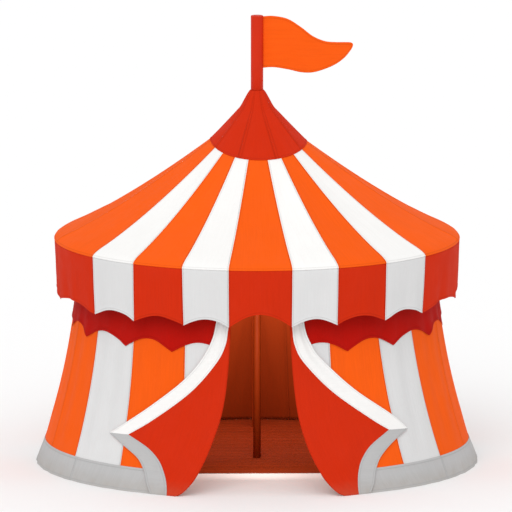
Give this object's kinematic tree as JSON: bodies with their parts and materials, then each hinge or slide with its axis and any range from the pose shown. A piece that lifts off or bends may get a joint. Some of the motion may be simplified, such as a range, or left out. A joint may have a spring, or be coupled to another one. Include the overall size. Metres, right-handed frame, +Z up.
{
  "type": "circus big top tent",
  "caption": "Round striped canvas tent with a flared wall, scalloped valances, a doorway held open by two folded flaps, a mast with a pennant, and a ring floor.",
  "frame": {"origin": "middle of the tent on the ground, at the underside of the ring floor", "axes": "+Z up, the doorway faces -Y, +X to the right of someone facing the doorway"},
  "size_m": [8.7944, 8.5398, 8.9871],
  "materials": {
    "orange_canvas": "matte woven canvas",
    "white_canvas": "matte woven canvas",
    "striped_wall": "matte woven canvas in orange and pale grey stripes, brown lining",
    "striped_valance": "matte woven canvas in red and pale grey stripes",
    "dark_red_canvas": "matte woven canvas",
    "grey_canvas": "matte woven canvas",
    "red_lining": "matte woven canvas with a white border and a grey hem",
    "red_canvas": "matte woven canvas",
    "red_paint": "satin paint",
    "brown_paint": "satin paint",
    "brown_floor": "painted boards"
  },
  "bodies": {
    "root": {"back_wall": "striped_wall", "crown_cap": "red_canvas", "crown_ring": "brown_paint", "door_flap_left": "red_lining", "door_flap_right": "red_lining", "eave_frame": "brown_paint", "flag": "orange_canvas", "flag_mast": "red_paint", "front_wall_left": "striped_wall", "front_wall_right": "striped_wall", "hem_band": "grey_canvas", "inner_valance": "dark_red_canvas", "king_pole": "brown_paint", "ring_floor": "brown_floor", "roof_gore_01": "orange_canvas", "roof_gore_02": "white_canvas", "roof_gore_03": "orange_canvas", "roof_gore_04": "white_canvas", "roof_gore_05": "orange_canvas", "roof_gore_06": "orange_canvas", "roof_gore_07": "orange_canvas", "roof_gore_08": "white_canvas", "roof_gore_09": "orange_canvas", "roof_gore_10": "white_canvas", "roof_gore_11": "orange_canvas", "roof_gore_12": "white_canvas", "roof_gore_13": "orange_canvas", "roof_gore_14": "white_canvas", "roof_gore_15": "orange_canvas", "roof_gore_16": "orange_canvas", "roof_gore_17": "orange_canvas", "roof_gore_18": "white_canvas", "roof_gore_19": "orange_canvas", "roof_gore_20": "white_canvas", "side_pole_back": "brown_paint", "side_pole_back_left": "brown_paint", "side_pole_back_right": "brown_paint", "side_pole_front_left": "brown_paint", "side_pole_front_right": "brown_paint", "side_pole_left": "brown_paint", "side_pole_right": "brown_paint", "side_wall_left": "striped_wall", "side_wall_right": "striped_wall", "valance": "striped_valance"}
  },
  "joints": []
}
